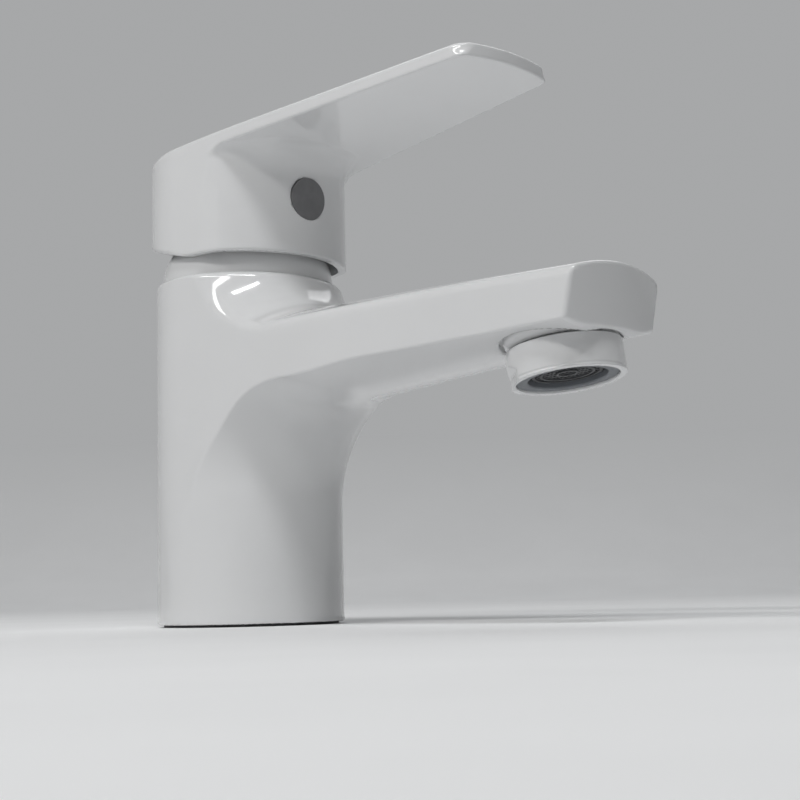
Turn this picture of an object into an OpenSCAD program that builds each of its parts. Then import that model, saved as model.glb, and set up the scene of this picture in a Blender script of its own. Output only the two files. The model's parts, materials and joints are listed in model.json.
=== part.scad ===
// Single-lever bathroom mixer tap, in millimetres.
// The deck is the plane z = 0, the column stands on the z axis and the spout points along +x.
// The ceramic-disc cartridge stands in the column, with its lever stem on a cross pin.

/* [Column] */
// Diameter of the column and of its base on the deck
column_d = 48; // [47:0.5:52]
// Height of the collar's top above the deck
collar_h = 88.2; // [87:0.2:92]
// Radius of the rounded shoulder round the collar
shoulder_r = 1.5; // [1:0.1:2]
// Wall thickness of the hollow base
base_wall = 5; // [4.4:0.2:6]

/* [Spout] */
// Distance from the column's axis to the tip of the nose
spout_l = 123.8; // [122.6:0.2:126]
// Width of the spout at the nose
nose_w = 29.3; // [28:0.2:31]
// Lean of the nose face, its top forward
nose_lean = 12.5; // [8:0.5:15]
// Radius of the nose face in plan
nose_r = 92; // [80:2:120]
// Drop from the collar's top to the spout's crest
crest_drop = 11.7; // [11:0.1:13]
// Radius of the crown across the spout's top
crown_r = 70; // [60:5:120]
// Fall of the crest towards the nose
crest_fall = 1.55; // [1:0.05:2]
// Depth of the spout from its crest to its keel
spout_depth = 23.6; // [22.6:0.1:25]
// Rise of the keel towards the nose
keel_rise = 2.58; // [2:0.02:3]
// Radius of the belly across the spout's underside
belly_r = 45; // [40:1:60]

/* [Blend from column to spout] */
// Depth of the scoop from the keel down to where it leaves the column
scoop_depth = 22.7; // [21:0.1:26]
// Radius of the long lower curve of the scoop
scoop_r = 39; // [36:0.5:40]
// Angle turned by the lower curve before the tighter one takes over
scoop_turn = 36; // [32:0.5:37]
// Rise from the keel to where the tighter curve runs out level
scoop_rise = 6.7; // [6.4:0.1:7]
// Radius of the hollow curve between the spout's top and the collar
neck_r = 15; // [12:0.5:16]

/* [Aerator] */
// Distance from the tip of the nose back to the outlet
outlet_back = 15.8; // [14.8:0.1:18]
// Drop from the keel to the outlet
outlet_drop = 2.1; // [1.5:0.1:2.6]
// Forward tilt of the stream
outlet_tilt = 8; // [5:0.5:9]
// Outside diameter of the aerator housing
aerator_d = 24.2; // [22:0.1:24.4]
// Wall of the aerator housing outside its thread
aerator_wall = 1.1; // [1:0.1:1.4]
// Length of the housing, up to its rounded bead
aerator_l = 8.9; // [8.6:0.1:9.4]

/* [Handle] */
// Overhang of the handle's rounded back past the column's radius
back_overhang = 0.4; // [0.2:0.1:1]
// Distance of the front face in front of the column
front_overhang = 1.2; // [0.8:0.1:2]
// Radius of the handle's front face in plan
handle_front_r = 28.2; // [27:0.1:31]
// Distance from the column's axis to the lever's tip
lever_l = 95.9; // [85:1:110]
// Width of the lever at its tip
lever_tip_w = 28.1; // [24:0.2:32]
// Radius of the lever's tip in plan
lever_tip_r = 44.6; // [35:0.5:60]
// Thickness of the lever plate where it leaves the cap
lever_t = 3.7; // [3.2:0.1:4.2]
// Thickness of the lever plate at its tip
lever_tip_t = 2.9; // [2.2:0.1:3.2]
// Rise of the lever's top face towards the tip
lever_rise = 2.2; // [1:0.1:4]
// Wall thickness of the hollow cap
cap_wall = 2.2; // [2:0.1:2.6]
// Radius of the hollow curve between the front face and the lever
lever_fillet_r = 8; // [5:0.5:10]
// Diameter of the index plug on the front face
plug_d = 10.8; // [9:0.2:12]

/* [Cartridge] */
// Outside diameter of the cartridge
cartridge_d = 34.8; // [34.6:0.1:35]
// Width of the square lever stem
stem_w = 8; // [7.6:0.1:8.2]
// Angle that the lever lifts through
lift_angle = 22; // [18:1:22]
// Angle that the lever turns through, each way
turn_angle = 45; // [40:1:50]

/* [Fixing under the deck] */
// Thickness of the deck that the tap is clamped to
deck_t = 30; // [20:1:40]
// Diameter of the stud
stud_d = 8; // [7.8:0.1:8.2]
// Diameter of the clamping plates
plate_d = 44; // [42:1:50]

/* [Hidden] */
$fn = 96;

enamel = "white";
brass = "gold";
steel = "silver";
rubber = "black";

// Overlap that carries a cut past a face, depth at which side faces enter a round, and clearances
past = 1;
sink = 0.02;
slip = 0.1;
play = 0.3;
running = 0.05;

// Column, with the bosses in its hollow base
column_r = column_d / 2;
seal_t = 3;
seal_lift = 0.6;
seal_r = column_r - base_wall / 2;
seal_w = 2;
cavity_r = column_r - base_wall;
cavity_top = 32;
inlet_x = 6;
inlet_y = 9.5;
inlet_thread_r = 5;
inlet_depth = 12;
inlet_boss_r = 8;
boss_low = 12;
passage_r = 2.6;
stud_x = -9;
stud_boss_r = 7;
stud_engaged = 14;
stud_seat = boss_low + stud_engaged;

// Heights and depths of the spout
crest_h = collar_h - crest_drop;
keel_h = crest_h - spout_depth;
scoop_h = keel_h - scoop_depth;
scoop_top = keel_h + scoop_rise;
neck_sink = 2.2;
waist_h = keel_h + 12;
nose_h = crest_h - spout_l * tan(crest_fall);
outlet_x = spout_l - outlet_back;
outlet_h = keel_h - outlet_drop;
edge_rise = 9.3;
edge_run = 14;
edge_angle = 30;
side_touch = touch_angle(column_r - sink, spout_l, nose_w / 2);
blank_past = 5;
blank_l = spout_l + blank_past;
blank_half = (column_r - sink - blank_l * cos(side_touch)) / sin(side_touch);
blank_low = keel_h - past;
blank_top = collar_h + past;

// Cartridge stack, built up from the seat in the column
cartridge_r = cartridge_d / 2;
seat_r = cartridge_r + play;
seat_depth = 31.2;
seat_h = collar_h - seat_depth;
cartridge_base_t = 6.4;
base_top = seat_h + cartridge_base_t;
nut_depth = 5.2;
housing_top = collar_h - nut_depth;
web_t = 2.9;
housing_wall = 1.8;
housing_bore_r = cartridge_r - housing_wall;
seal_groove = 1;
seal_low = base_top + 2;
seal_high = seal_low + 2;
disc_t = 4;
moving_disc_t = 3;
carrier_t = 3;
disc_margin = 1;
fixed_disc_r = housing_bore_r - disc_margin;
disc_room = 3.2;
moving_disc_r = fixed_disc_r - disc_room;
carrier_r = moving_disc_r + 0.8;
disc_low = base_top + disc_t + slip;
carrier_low = disc_low + moving_disc_t;
turret_low = carrier_low + carrier_t + 0.5;
port_x = 5;
port_y = 8;
port_r = 3;
port_seal_w = 1.4;
port_seal_t = 2;
outlet_port_x = -6;
outlet_port_r = 4;
outlet_floor = 1.2;
outlet_slot_r = 2;
chamber_r = 7.5;
chamber_t = moving_disc_t / 2;

// Lever stem, its cross pin, and the turret that carries both
pivot_rise = 6.8;
pivot_h = collar_h + pivot_rise;
arm = 15.5;
rest_tilt = lift_angle / 2;
carrier_x = -arm * sin(rest_tilt);
ball_r = 3.2;
ball_clear = 0.15;
post_w = 9;
post_rise = 3;
post_top = pivot_h - arm + post_rise;
socket_depth = post_rise + ball_r + 0.6;
pin_r = 2;
stem_neck_r = 2.6;
stem_barrel_r = 5;
stem_top = 19.5;
neck_out_r = 11.9;
flange_r = housing_bore_r - play;
slot_l = 16;
slot_w = post_w + 0.4;
turret_rise = 10.3;
turret_top = collar_h + turret_rise;

// Stops for the turn, and the toothed ring that meets them
stop_in_r = neck_out_r + 0.4;
stop_out_r = stop_in_r + 1.9;
stop_h = 1.4;
stop_width = 18;
lug_half = 12;
lug_t = 1.5;
limiter_t = 3.8;
limiter_low = housing_top + lug_t + 0.2;
tooth_r = 0.8;

// Nut that holds the cartridge down
nut_thread_r = 18.95;
nut_bore_r = 14.5;
nut_hex_r = 17.5;
nut_rise = 4.3;
nut_top = collar_h + nut_rise;

// Dome of the trim ring over the nut
ring_r = column_r - shoulder_r - slip;
ring_arc_r = 12.7;
ring_side_h = 1;
ring_rise = 10.2;
ring_top = collar_h + ring_rise;
ring_t = 1.3;
ring_mouth_r = neck_out_r + 1.3;
ring_sleeve_t = 1;

// Water space of the spout, fed at the level of the cartridge base
channel_rise = 5;
channel_h = seat_h + channel_rise;
channel_r = 4;
spout_wall = 4;
hollow_rise = 8.6;
hollow_low = keel_h + hollow_rise;
hollow_high = nose_h - spout_wall;
hollow_from = seat_r + spout_wall;
feed_r = 3;
feed_h = (hollow_low + hollow_high) / 2;

// Aerator, measured up the outlet's axis from the outlet
bead_r = 0.4;
aerator_thread_r = aerator_d / 2 - aerator_wall;
recess_r = aerator_d / 2 + bead_r + play;
recess_depth = aerator_l + 2 * bead_r + 0.8;
nipple_low = 7.4;
nipple_wall = 2.5;
nipple_bore_r = aerator_thread_r - nipple_wall;
nipple_bore_rise = 7;
nipple_bore_top = recess_depth + nipple_bore_rise;
mouth_wall = 0.8;
hollow_to = outlet_x - recess_r - spout_wall - running * 4;
core_low = 2.6;
core_t = 2.8;
core_top = core_low + core_t;
core_ledge = 1;
core_ledge_r = aerator_thread_r - core_ledge;
core_ledge_w = 0.8;
core_rib_w = 0.7;
core_pitch = 1.9;
core_rings = 4;
screen_t = 0.6;
screen_hole_r = 0.6;
screen_pitch = 2.4;
screen_rings = 3;
flat_depth = 0.7;
flat_l = 4;
flat_turn = 35;

// Handle, whose side faces run from the rounded back to the lever's tip
handle_back_x = -1.5;
handle_back_r = column_r + back_overhang;
front_x = column_r + front_overhang;
handle_front_x = front_x - handle_front_r;
rim_gap = 5;
rim_h = collar_h + rim_gap;
rim_slant = 7.8;
rim_step_x = 3.5;
lever_over_collar = 34.6;
lever_top = collar_h + lever_over_collar;
lever_bottom = lever_top - lever_t;
insert_r = 7.5;
insert_low = 7;
insert_top = stem_top + 0.9;
boss_wall = 3;
boss_r = insert_r + boss_wall;
plug_rise = 14.6;
plug_h = rim_h + plug_rise;
plug_r = plug_d / 2;
plug_tilt = 4.5;
plug_t = 1.5;
plug_spigot = 3;
screw_r = 2.5;
screw_l = 8;
screw_reach = 7.2;
key_r = 1.45;
key_depth = 2.5;

// Clamping parts under the deck
stud_r = stud_d / 2;
plate_r = plate_d / 2;
gasket_t = 3;
plate_t = 2;
stud_nut_l = 14;
stud_nut_r = 7.2;
stud_flange_r = 8;
stud_flange_t = 1.5;
stud_end = 6;
gasket_low = -deck_t - gasket_t;
plate_low = gasket_low - plate_t;
nut_low = plate_low - stud_nut_l;
hose_gap_x = -2.5;
hose_gap_w = 30;
horn_x = 13;

// Azimuth of the point where a side face touches a circle of radius r that lies dx behind the tip
function touch_angle(r, dx, half_w) = atan2(half_w, dx) + acos(r / norm([dx, half_w]));

// Tube between two heights
module tube(outer_r, inner_r, low, high) {
  translate([0, 0, low])
    difference() {
      cylinder(r = outer_r, h = high - low);
      translate([0, 0, -past]) cylinder(r = inner_r, h = high - low + 2 * past);
    }
}

// Rod between two heights at a place in plan
module rod(x, y, r, low, high) {
  translate([x, y, low]) cylinder(r = r, h = high - low);
}

// Plan shape with a round back and two flat sides that run in to the tip, between two heights.
// The sides start a hair inside the round, so that they cross it cleanly.
module tapered_block(back_r, back_x, tip_x, tip_half, low, high) {
  inside_r = back_r - sink;
  touch = touch_angle(inside_r, tip_x - back_x, tip_half);
  touch_x = back_x + inside_r * cos(touch);
  touch_y = inside_r * sin(touch);
  rod(back_x, 0, back_r, low, high);
  translate([0, 0, low])
    linear_extrude(height = high - low)
      polygon([[touch_x, -touch_y], [tip_x, -tip_half], [tip_x, tip_half], [touch_x, touch_y]]);
}

// Sector of a disc, centred on the -x direction, used to keep part of a ring
module back_sector(from_angle, to_angle, reach, low, high) {
  translate([0, 0, low])
    linear_extrude(height = high - low)
      polygon([[0, 0],
        reach * [-cos(from_angle), sin(from_angle)],
        reach * [-cos((from_angle + to_angle) / 2), sin((from_angle + to_angle) / 2)],
        reach * [-cos(to_angle), sin(to_angle)]]);
}

// Places a piece on the tilted axis of the outlet, on the tilted stem, or on the grub screw's axis
module on_outlet_axis() {
  translate([outlet_x, 0, outlet_h]) rotate([0, -outlet_tilt, 0]) children();
}

module on_stem_axis() {
  translate([0, 0, pivot_h]) rotate([0, rest_tilt, 0]) children();
}

module on_screw_axis() {
  translate([front_x, 0, plug_h]) rotate([0, 90 + plug_tilt, 0]) children();
}

// ---- Body ----

module column() {
  rod(0, 0, column_r, seal_lift, collar_h - shoulder_r);
  rod(0, 0, column_r - shoulder_r, collar_h - past - shoulder_r, collar_h);
  translate([0, 0, collar_h - shoulder_r])
    rotate_extrude() translate([column_r - shoulder_r, 0]) circle(r = shoulder_r, $fn = 32);
}

// Spout blank: side faces flush with the column, cut to the plan of the nose
module spout_plan(low, high) {
  intersection() {
    tapered_block(column_r, 0, blank_l, blank_half, low, high);
    translate([spout_l - nose_r / cos(nose_lean), 0, nose_h])
      rotate([0, nose_lean, 0])
        cylinder(r = nose_r, h = 4 * crest_h, center = true);
  }
}

// Region under the crown and above the belly, both of them long cylinders along the spout
module spout_section() {
  intersection() {
    translate([0, 0, crest_h - crown_r])
      rotate([0, 90 + crest_fall, 0])
        cylinder(r = crown_r, h = 3 * spout_l, center = true);
    translate([0, 0, keel_h + belly_r])
      rotate([0, 90 - keel_rise, 0])
        cylinder(r = belly_r, h = 3 * spout_l, center = true);
  }
}

// Scoop under the spout: a long curve that leaves the column upright, then a tighter one
module scoop() {
  end_r = column_r + scoop_r - scoop_r * cos(scoop_turn);
  end_h = scoop_h + scoop_r * sin(scoop_turn);
  tight_r = (scoop_top - end_h) / (1 - sin(scoop_turn));
  tight_x = end_r + tight_r * cos(scoop_turn);
  tight_h = scoop_top - tight_r;
  intersection() {
    spout_plan(scoop_h, waist_h);
    rotate_extrude()
      difference() {
        translate([0, scoop_h]) square([tight_x, waist_h - scoop_h]);
        translate([column_r + scoop_r, scoop_h]) circle(r = scoop_r);
        translate([tight_x, tight_h]) circle(r = tight_r);
      }
  }
}

// Hollow curve that carries the spout's top up into the collar
module neck_curve() {
  foot = crest_h - neck_sink;
  shoulder_h = collar_h - shoulder_r;
  intersection() {
    spout_plan(waist_h, blank_top);
    rotate_extrude()
      difference() {
        polygon([[0, waist_h], [column_r + neck_r, waist_h], [column_r + neck_r, shoulder_h - neck_r],
          [column_r, shoulder_h], [0, shoulder_h]]);
        translate([column_r + neck_r, foot + neck_r]) circle(r = neck_r, $fn = 64);
      }
  }
}

// Hollow of the base, with bosses left standing for the hoses and the stud
module base_hollow() {
  difference() {
    rod(0, 0, cavity_r, -past, cavity_top);
    for (side = [-1, 1]) rod(inlet_x, side * inlet_y, inlet_boss_r, boss_low, cavity_top + past);
    rod(stud_x, 0, stud_boss_r, boss_low, cavity_top + past);
  }
}

module body() {
  color(enamel)
    difference() {
      union() {
        column();
        intersection() {
          spout_plan(blank_low, blank_top);
          spout_section();
        }
        scoop();
        neck_curve();
      }
      base_hollow();
      tube(seal_r + seal_w / 2, seal_r - seal_w / 2, -past, seal_t);
      rod(stud_x, 0, stud_r, 0, stud_seat);
      for (side = [-1, 1]) {
        rod(inlet_x, side * inlet_y, inlet_thread_r, 0, boss_low + inlet_depth);
        rod(port_x, side * port_y, passage_r, boss_low, seat_h + past);
      }
      rod(0, 0, seat_r, seat_h, collar_h + past);
      rod(0, 0, nut_thread_r + running, housing_top - past, collar_h + past);
      translate([0, 0, channel_h])
        rotate([0, 90, 0])
          cylinder(r = channel_r, h = hollow_from + spout_wall);
      spout_hollow();
      translate([hollow_to - past, 0, feed_h])
        rotate([0, 90, 0])
          cylinder(r = feed_r, h = outlet_x - hollow_to);
      nose_chamfer();
      on_outlet_axis() {
        difference() {
          cylinder(r = recess_r, h = recess_depth);
          translate([0, 0, nipple_low]) cylinder(r = aerator_thread_r, h = recess_depth);
        }
        cylinder(r = nipple_bore_r, h = nipple_bore_top);
      }
    }
}

// Water space cast along the inside of the spout
module spout_hollow() {
  intersection() {
    tapered_block(column_r - spout_wall, 0, spout_l, nose_w / 2 - spout_wall, hollow_low, hollow_high);
    translate([hollow_from, -column_r, hollow_low])
      cube([hollow_to - hollow_from, column_d, hollow_high - hollow_low]);
  }
}

// Slanted strip between the nose's lower edge and the belly, so that the edge stays straight
module nose_chamfer() {
  edge_h = keel_h + edge_rise;
  rotate([90, 0, 0])
    linear_extrude(height = 2 * column_d, center = true)
      polygon([[spout_l, edge_h], [spout_l - edge_run, edge_h - edge_run * tan(edge_angle)], [spout_l, outlet_h]]);
}

module base_seal() {
  color(rubber) tube(seal_r + seal_w / 2, seal_r - seal_w / 2, 0, seal_t);
}

// ---- Cartridge ----

module port_ring(x, y, r, low, high) {
  translate([x, y, 0]) tube(r + port_seal_w, r, low, high);
}

module port_seals() {
  color(rubber)
    for (side = [-1, 1]) port_ring(port_x, side * port_y, port_r, seat_h, seat_h + port_seal_t);
}

module cartridge_base() {
  color("dimgray")
    difference() {
      rod(0, 0, cartridge_r, seat_h, base_top);
      for (side = [-1, 1]) {
        rod(port_x, side * port_y, port_r, seat_h - past, base_top + past);
        port_ring(port_x, side * port_y, port_r, seat_h - past, seat_h + port_seal_t);
      }
      rod(outlet_port_x, 0, outlet_port_r, seat_h + outlet_floor, base_top + past);
      translate([outlet_port_x, 0, seat_h + outlet_floor + outlet_slot_r])
        rotate([0, 90, 0])
          cylinder(r = outlet_slot_r, h = cartridge_d);
    }
}

module fixed_disc() {
  color("ivory")
    difference() {
      rod(0, 0, fixed_disc_r, base_top, base_top + disc_t);
      for (side = [-1, 1])
        rod(port_x, side * port_y, port_r, base_top - past, base_top + disc_t + past);
      rod(outlet_port_x, 0, outlet_port_r, base_top - past, base_top + disc_t + past);
    }
}

// The moving disc and its carrier stand to the back of the axis while the tap is shut
module moving_disc() {
  color("ivory")
    difference() {
      rod(carrier_x, 0, moving_disc_r, disc_low, carrier_low);
      rod(carrier_x, 0, chamber_r, disc_low - past, disc_low + chamber_t);
    }
}

module disc_carrier() {
  color("white")
    difference() {
      union() {
        rod(carrier_x, 0, carrier_r, carrier_low, carrier_low + carrier_t);
        translate([carrier_x - post_w / 2, -post_w / 2, carrier_low])
          cube([post_w, post_w, post_top - carrier_low]);
      }
      rod(carrier_x, 0, ball_r + ball_clear, post_top - socket_depth, post_top + past);
    }
}

module cartridge_housing() {
  stop_from = lug_half + turn_angle + 2;
  color("dimgray") {
    difference() {
      tube(cartridge_r, housing_bore_r, base_top, housing_top);
      tube(cartridge_r + past, cartridge_r - seal_groove, seal_low, seal_high);
    }
    tube(housing_bore_r + past, neck_out_r + slip, housing_top - web_t, housing_top);
    for (side = [0, 1])
      intersection() {
        tube(stop_out_r, stop_in_r, housing_top - past, housing_top + stop_h);
        mirror([0, side, 0])
          back_sector(stop_from, stop_from + stop_width, cartridge_d, housing_top - past, housing_top + stop_h);
      }
  }
}

module cartridge_seal() {
  color(rubber) tube(seat_r, cartridge_r - seal_groove, seal_low, seal_high);
}

module cartridge_nut() {
  color(brass)
    difference() {
      union() {
        rod(0, 0, nut_thread_r, housing_top, collar_h);
        translate([0, 0, collar_h - past]) cylinder(r = nut_hex_r, h = nut_rise + past, $fn = 6);
      }
      rod(0, 0, nut_bore_r, housing_top - past, nut_top + past);
    }
}

module turret() {
  color("whitesmoke")
    difference() {
      union() {
        rod(0, 0, flange_r, turret_low, housing_top - web_t - slip);
        rod(0, 0, neck_out_r, turret_low, turret_top);
      }
      translate([-slot_l / 2, -slot_w / 2, turret_low - past])
        cube([slot_l, slot_w, turret_top - turret_low + 2 * past]);
      translate([0, 0, pivot_h])
        rotate([90, 0, 0])
          cylinder(r = pin_r, h = 2 * neck_out_r + past, center = true);
    }
}

// Toothed ring on the turret, whose lug meets the housing's stops at each end of the turn
module temperature_limiter() {
  teeth = 24;
  ring_out_r = stop_out_r - play;
  lug_low = housing_top + 0.2;
  color("crimson")
    difference() {
      union() {
        tube(ring_out_r, neck_out_r, limiter_low, limiter_low + limiter_t);
        intersection() {
          tube(ring_out_r, neck_out_r, lug_low, limiter_low + play);
          for (side = [0, 1])
            mirror([0, side, 0])
              back_sector(0, lug_half, cartridge_d, lug_low, limiter_low + play);
        }
      }
      for (i = [0:teeth - 1])
        rotate([0, 0, i * 360 / teeth])
          rod(stop_out_r, 0, tooth_r, limiter_low + limiter_t / 2, limiter_low + limiter_t + past);
    }
}

module lever_stem() {
  stem_low = pin_r;
  color(steel)
    difference() {
      on_stem_axis() {
        translate([-stem_w / 2, -stem_w / 2, stem_low]) cube([stem_w, stem_w, stem_top - stem_low]);
        rotate([90, 0, 0]) cylinder(r = stem_barrel_r, h = stem_w, center = true);
        translate([0, 0, -arm]) cylinder(r = stem_neck_r, h = arm);
        translate([0, 0, -arm]) sphere(r = ball_r);
      }
      translate([0, 0, pivot_h])
        rotate([90, 0, 0])
          cylinder(r = pin_r + running, h = 2 * stem_w, center = true);
      on_screw_axis() translate([0, 0, -front_x]) cylinder(r = screw_r, h = screw_reach);
    }
}

module stem_pin() {
  color(steel)
    translate([0, 0, pivot_h])
      rotate([90, 0, 0])
        cylinder(r = pin_r, h = 2 * (neck_out_r - past), center = true);
}

module trim_ring_section(side_r, arc_r, top) {
  intersection() {
    square([side_r, top]);
    union() {
      square([side_r, ring_side_h]);
      translate([side_r - arc_r, ring_side_h]) circle(r = arc_r);
      square([side_r - arc_r, top]);
    }
  }
}

module trim_ring() {
  height = ring_top - collar_h;
  color(enamel)
    difference() {
      union() {
        translate([0, 0, collar_h])
          rotate_extrude()
            difference() {
              trim_ring_section(ring_r, ring_arc_r, height);
              trim_ring_section(ring_r - ring_t, ring_arc_r - ring_t, height - ring_t);
            }
        tube(nut_hex_r + ring_sleeve_t, nut_hex_r, collar_h + ring_side_h, ring_top - ring_t);
      }
      rod(0, 0, ring_mouth_r, collar_h, ring_top + past);
    }
}

// ---- Handle ----

// Plan of the handle: round back and side faces that run in to the lever's tip
module handle_plan(shrink, low, high) {
  tapered_block(handle_back_r - shrink, handle_back_x, lever_l, lever_tip_w / 2 - shrink, low, high);
}

module cap_block(shrink, low, high) {
  intersection() {
    handle_plan(shrink, low, high);
    rod(handle_front_x, 0, handle_front_r - shrink, low, high);
  }
}

// Side view of the lever plate, from the back of the cap to past the tip
module lever_slab() {
  reach = lever_l + past;
  tip_top = lever_top + reach * tan(lever_rise);
  back_top = lever_top - column_d * tan(lever_rise);
  rotate([90, 0, 0])
    linear_extrude(height = 2 * column_d, center = true)
      polygon([[-column_d, back_top - lever_t], [0, lever_bottom], [reach, tip_top - lever_tip_t],
        [reach, tip_top], [-column_d, back_top]]);
}

module lever_plate() {
  intersection() {
    handle_plan(0, lever_bottom - column_r, lever_top + column_r);
    rod(lever_l - lever_tip_r, 0, lever_tip_r, lever_bottom - column_r, lever_top + column_r);
    lever_slab();
  }
}

// The tip circle is smaller than the cap, so the cap's own top closes the back
module cap_lid() {
  intersection() {
    cap_block(0, lever_bottom - column_r, lever_top + column_r);
    lever_slab();
  }
}

// Hollow curve between the front face and the lever's underside
module front_curve() {
  curve_top = lever_bottom + front_x * tan(lever_rise);
  curve_low = curve_top - lever_fillet_r;
  intersection() {
    handle_plan(0, curve_low, curve_top + past);
    translate([handle_front_x, 0, 0])
      rotate_extrude()
        difference() {
          translate([handle_front_r - past, curve_low]) square([lever_fillet_r + past, lever_fillet_r + past]);
          translate([handle_front_r + lever_fillet_r, curve_low]) circle(r = lever_fillet_r);
        }
  }
}

// The rim is level in front and rises to the back, which leaves room for the lift
module rim_cut() {
  rotate([90, 0, 0])
    linear_extrude(height = 3 * column_d, center = true)
      polygon([[-column_d, rim_h - column_d], [column_d, rim_h - column_d], [column_d, rim_h],
        [rim_step_x, rim_h], [-column_r, rim_h + rim_slant], [-column_d, rim_h + rim_slant]]);
}

module handle() {
  cap_top = lever_bottom + lever_t / 2;
  color(enamel)
    difference() {
      union() {
        difference() {
          cap_block(0, rim_h, cap_top);
          cap_block(cap_wall, rim_h - past, lever_bottom);
        }
        cap_lid();
        lever_plate();
        front_curve();
        intersection() {
          on_stem_axis() translate([0, 0, insert_low]) cylinder(r = boss_r, h = column_r);
          rod(0, 0, column_r, rim_h, cap_top);
        }
      }
      rim_cut();
      on_stem_axis() translate([0, 0, insert_low - past]) cylinder(r = insert_r, h = insert_top - insert_low + past);
      on_screw_axis() {
        translate([0, 0, -plug_t]) cylinder(r = plug_r + running, h = lever_fillet_r);
        translate([0, 0, -front_x / 2 - plug_spigot]) cylinder(r = screw_r + slip, h = front_x / 2 + plug_spigot);
        translate([0, 0, -front_x]) cylinder(r = screw_r, h = front_x);
      }
    }
}

module stem_insert() {
  color("dimgray")
    difference() {
      on_stem_axis()
        difference() {
          translate([0, 0, insert_low]) cylinder(r = insert_r, h = insert_top - insert_low);
          translate([-stem_w / 2, -stem_w / 2, 0]) cube([stem_w, stem_w, column_r]);
        }
      on_screw_axis() translate([0, 0, -front_x]) cylinder(r = screw_r, h = front_x);
    }
}

// The screw bears on the stem through the insert, and is reached through the plug's hole
module grub_screw() {
  tip = front_x - screw_reach;
  color(steel)
    on_screw_axis()
      difference() {
        translate([0, 0, -tip]) cylinder(r = screw_r, h = screw_l);
        translate([0, 0, screw_l - tip - key_depth]) cylinder(r = key_r, h = key_depth + past, $fn = 6);
      }
}

module index_plug() {
  color("dimgray")
    on_screw_axis() {
      translate([0, 0, -plug_t]) cylinder(r = plug_r, h = plug_t);
      translate([0, 0, -plug_t - plug_spigot]) cylinder(r = screw_r + running, h = plug_spigot + plug_t / 2);
    }
}

// ---- Aerator ----

// Cup that screws over the spout's nipple, with a bead round its top and two spanner flats
module aerator_housing() {
  housing_r = aerator_d / 2;
  color(enamel)
    on_outlet_axis()
      difference() {
        union() {
          cylinder(r = housing_r, h = aerator_l + bead_r);
          translate([0, 0, aerator_l + bead_r])
            rotate_extrude() translate([housing_r - bead_r / 2, 0]) circle(r = bead_r, $fn = 32);
        }
        translate([0, 0, -running]) cylinder(r1 = housing_r - mouth_wall, r2 = core_ledge_r, h = core_low - screen_t);
        translate([0, 0, -past]) cylinder(r = core_ledge_r, h = past + core_low + running);
        translate([0, 0, core_low]) cylinder(r = aerator_thread_r, h = aerator_l + past);
        for (turn = [0, 180])
          rotate([0, 0, flat_turn + turn])
            translate([housing_r - flat_depth, -housing_r, -past])
              cube([housing_r, aerator_d, flat_l + past]);
      }
}

// Jet former: a rim with rings joined by ribs
module aerator_core() {
  core_r = aerator_thread_r - slip;
  half = core_rib_w / 2;
  color("dimgray")
    on_outlet_axis() {
      tube(core_r, core_ledge_r - core_ledge_w, core_low, core_top);
      for (i = [1:core_rings]) tube(i * core_pitch + half, i * core_pitch - half, core_low, core_top);
      translate([0, 0, core_low]) cylinder(r = core_pitch / 2, h = core_top - core_low);
      for (turn = [0:60:120])
        rotate([0, 0, turn])
          translate([slip - core_r, -half, core_low + core_rib_w])
            cube([2 * core_r - 2 * slip, core_rib_w, core_top - core_low - core_rib_w]);
    }
}

// Perforated strainer lying on the jet former
module flow_screen() {
  color(steel)
    on_outlet_axis()
      translate([0, 0, core_top])
        difference() {
          cylinder(r = aerator_thread_r - slip, h = screen_t);
          for (ring = [1:screen_rings])
            for (i = [0:6 * ring - 1])
              rotate([0, 0, i * 60 / ring])
                translate([ring * screen_pitch, 0, -past])
                  cylinder(r = screen_hole_r, h = screen_t + 2 * past);
        }
}

module aerator_washer() {
  color(rubber)
    on_outlet_axis()
      tube(aerator_thread_r - slip, nipple_bore_r, core_top + screen_t, nipple_low);
}

// ---- Fixing under the deck ----

module mounting_stud() {
  color(steel) rod(stud_x, 0, stud_r, nut_low - stud_end, stud_seat);
}

// Horseshoe shape that leaves the hoses room to pass, its horns cut off straight
module horseshoe(low, high) {
  difference() {
    intersection() {
      rod(0, 0, plate_r, low, high);
      translate([horn_x - plate_d, -plate_r, low]) cube([plate_d, plate_d, high - low]);
    }
    rod(stud_x, 0, stud_r + play, low - past, high + past);
    translate([hose_gap_x, -hose_gap_w / 2, low - past])
      cube([plate_d, hose_gap_w, high - low + 2 * past]);
  }
}

module clamp_gasket() {
  color(rubber) horseshoe(gasket_low, -deck_t);
}

module clamp_plate() {
  color(steel) horseshoe(plate_low, gasket_low);
}

module stud_nut() {
  color(brass)
    difference() {
      union() {
        translate([stud_x, 0, nut_low]) cylinder(r = stud_nut_r, h = stud_nut_l, $fn = 6);
        rod(stud_x, 0, stud_flange_r, plate_low - stud_flange_t, plate_low);
      }
      rod(stud_x, 0, stud_r, nut_low - past, plate_low + past);
    }
}

body();
base_seal();
trim_ring();
cartridge_nut();
cartridge_housing();
cartridge_base();
cartridge_seal();
port_seals();
fixed_disc();
moving_disc();
disc_carrier();
turret();
temperature_limiter();
lever_stem();
stem_pin();
handle();
stem_insert();
grub_screw();
index_plug();
aerator_housing();
aerator_core();
flow_screen();
aerator_washer();
mounting_stud();
clamp_gasket();
clamp_plate();
stud_nut();
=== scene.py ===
"""Single-lever bathroom mixer tap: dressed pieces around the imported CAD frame.

The cast body, the lever and the aerator's visible parts are solids described by distance
fields in millimetres, with their rounded edges and blends, and are meshed on a grid. The
other parts keep their CAD meshes and get a material.
"""

import json
import math

import bpy
import numpy as np
from mathutils import Matrix, Vector


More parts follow.
